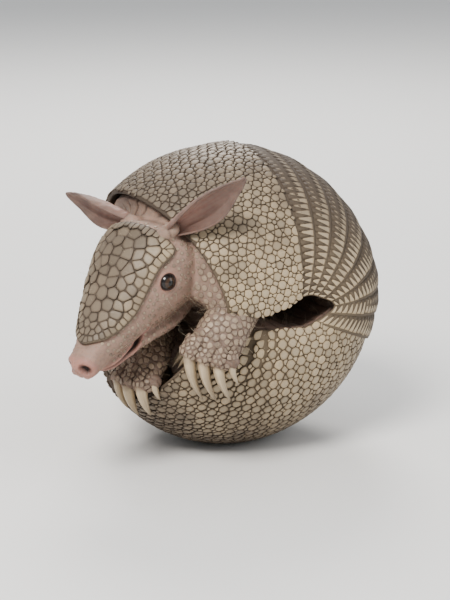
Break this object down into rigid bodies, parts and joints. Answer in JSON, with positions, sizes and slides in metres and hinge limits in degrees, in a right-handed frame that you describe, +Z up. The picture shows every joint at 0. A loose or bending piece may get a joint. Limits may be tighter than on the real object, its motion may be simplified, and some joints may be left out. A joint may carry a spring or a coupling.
{
  "type": "curled armadillo model",
  "caption": "Life-size still model of a nine-banded armadillo curled up on its rump, head and forepaws over the front edge of its rump shield.",
  "frame": {"origin": "on the floor, at the middle of the flat under the rump shield that carries most of the weight", "axes": "the head faces -X and the animal's left side is -Y; +Z up"},
  "size_m": [0.2181, 0.1747, 0.1811],
  "materials": {
    "shell": "matt horny scutes over bone plates",
    "skin": "matt pebbled bare skin",
    "ear": "matt finely pebbled skin",
    "claw": "smooth worn horn",
    "eye": "wet dark glossy eye"
  },
  "bodies": {
    "root": {"band_1": "shell", "band_2": "shell", "band_3": "shell", "band_4": "shell", "band_5": "shell", "band_6": "shell", "band_7": "shell", "band_8": "shell", "chest": "skin", "ear_left": "ear", "ear_right": "ear", "eye_left": "eye", "eye_right": "eye", "foreleg_left": "skin", "foreleg_left_claw_1": "claw", "foreleg_left_claw_2": "claw", "foreleg_left_claw_3": "claw", "foreleg_left_claw_4": "claw", "foreleg_right": "skin", "foreleg_right_claw_1": "claw", "foreleg_right_claw_2": "claw", "foreleg_right_claw_3": "claw", "foreleg_right_claw_4": "claw", "head": "skin", "head_shield": "shell", "hindleg_left": "skin", "hindleg_left_claw_1": "claw", "hindleg_left_claw_2": "claw", "hindleg_left_claw_3": "claw", "hindleg_left_claw_4": "claw", "hindleg_left_claw_5": "claw", "hindleg_right": "skin", "hindleg_right_claw_1": "claw", "hindleg_right_claw_2": "claw", "hindleg_right_claw_3": "claw", "hindleg_right_claw_4": "claw", "hindleg_right_claw_5": "claw", "loin": "skin", "lower_jaw": "skin", "neck": "skin", "pelvic_shield": "shell", "pelvis": "skin", "shoulder_shield": "shell", "tail_1": "shell", "tail_2": "shell", "tail_3": "shell", "tail_4": "shell", "tail_5": "shell"}
  },
  "joints": []
}
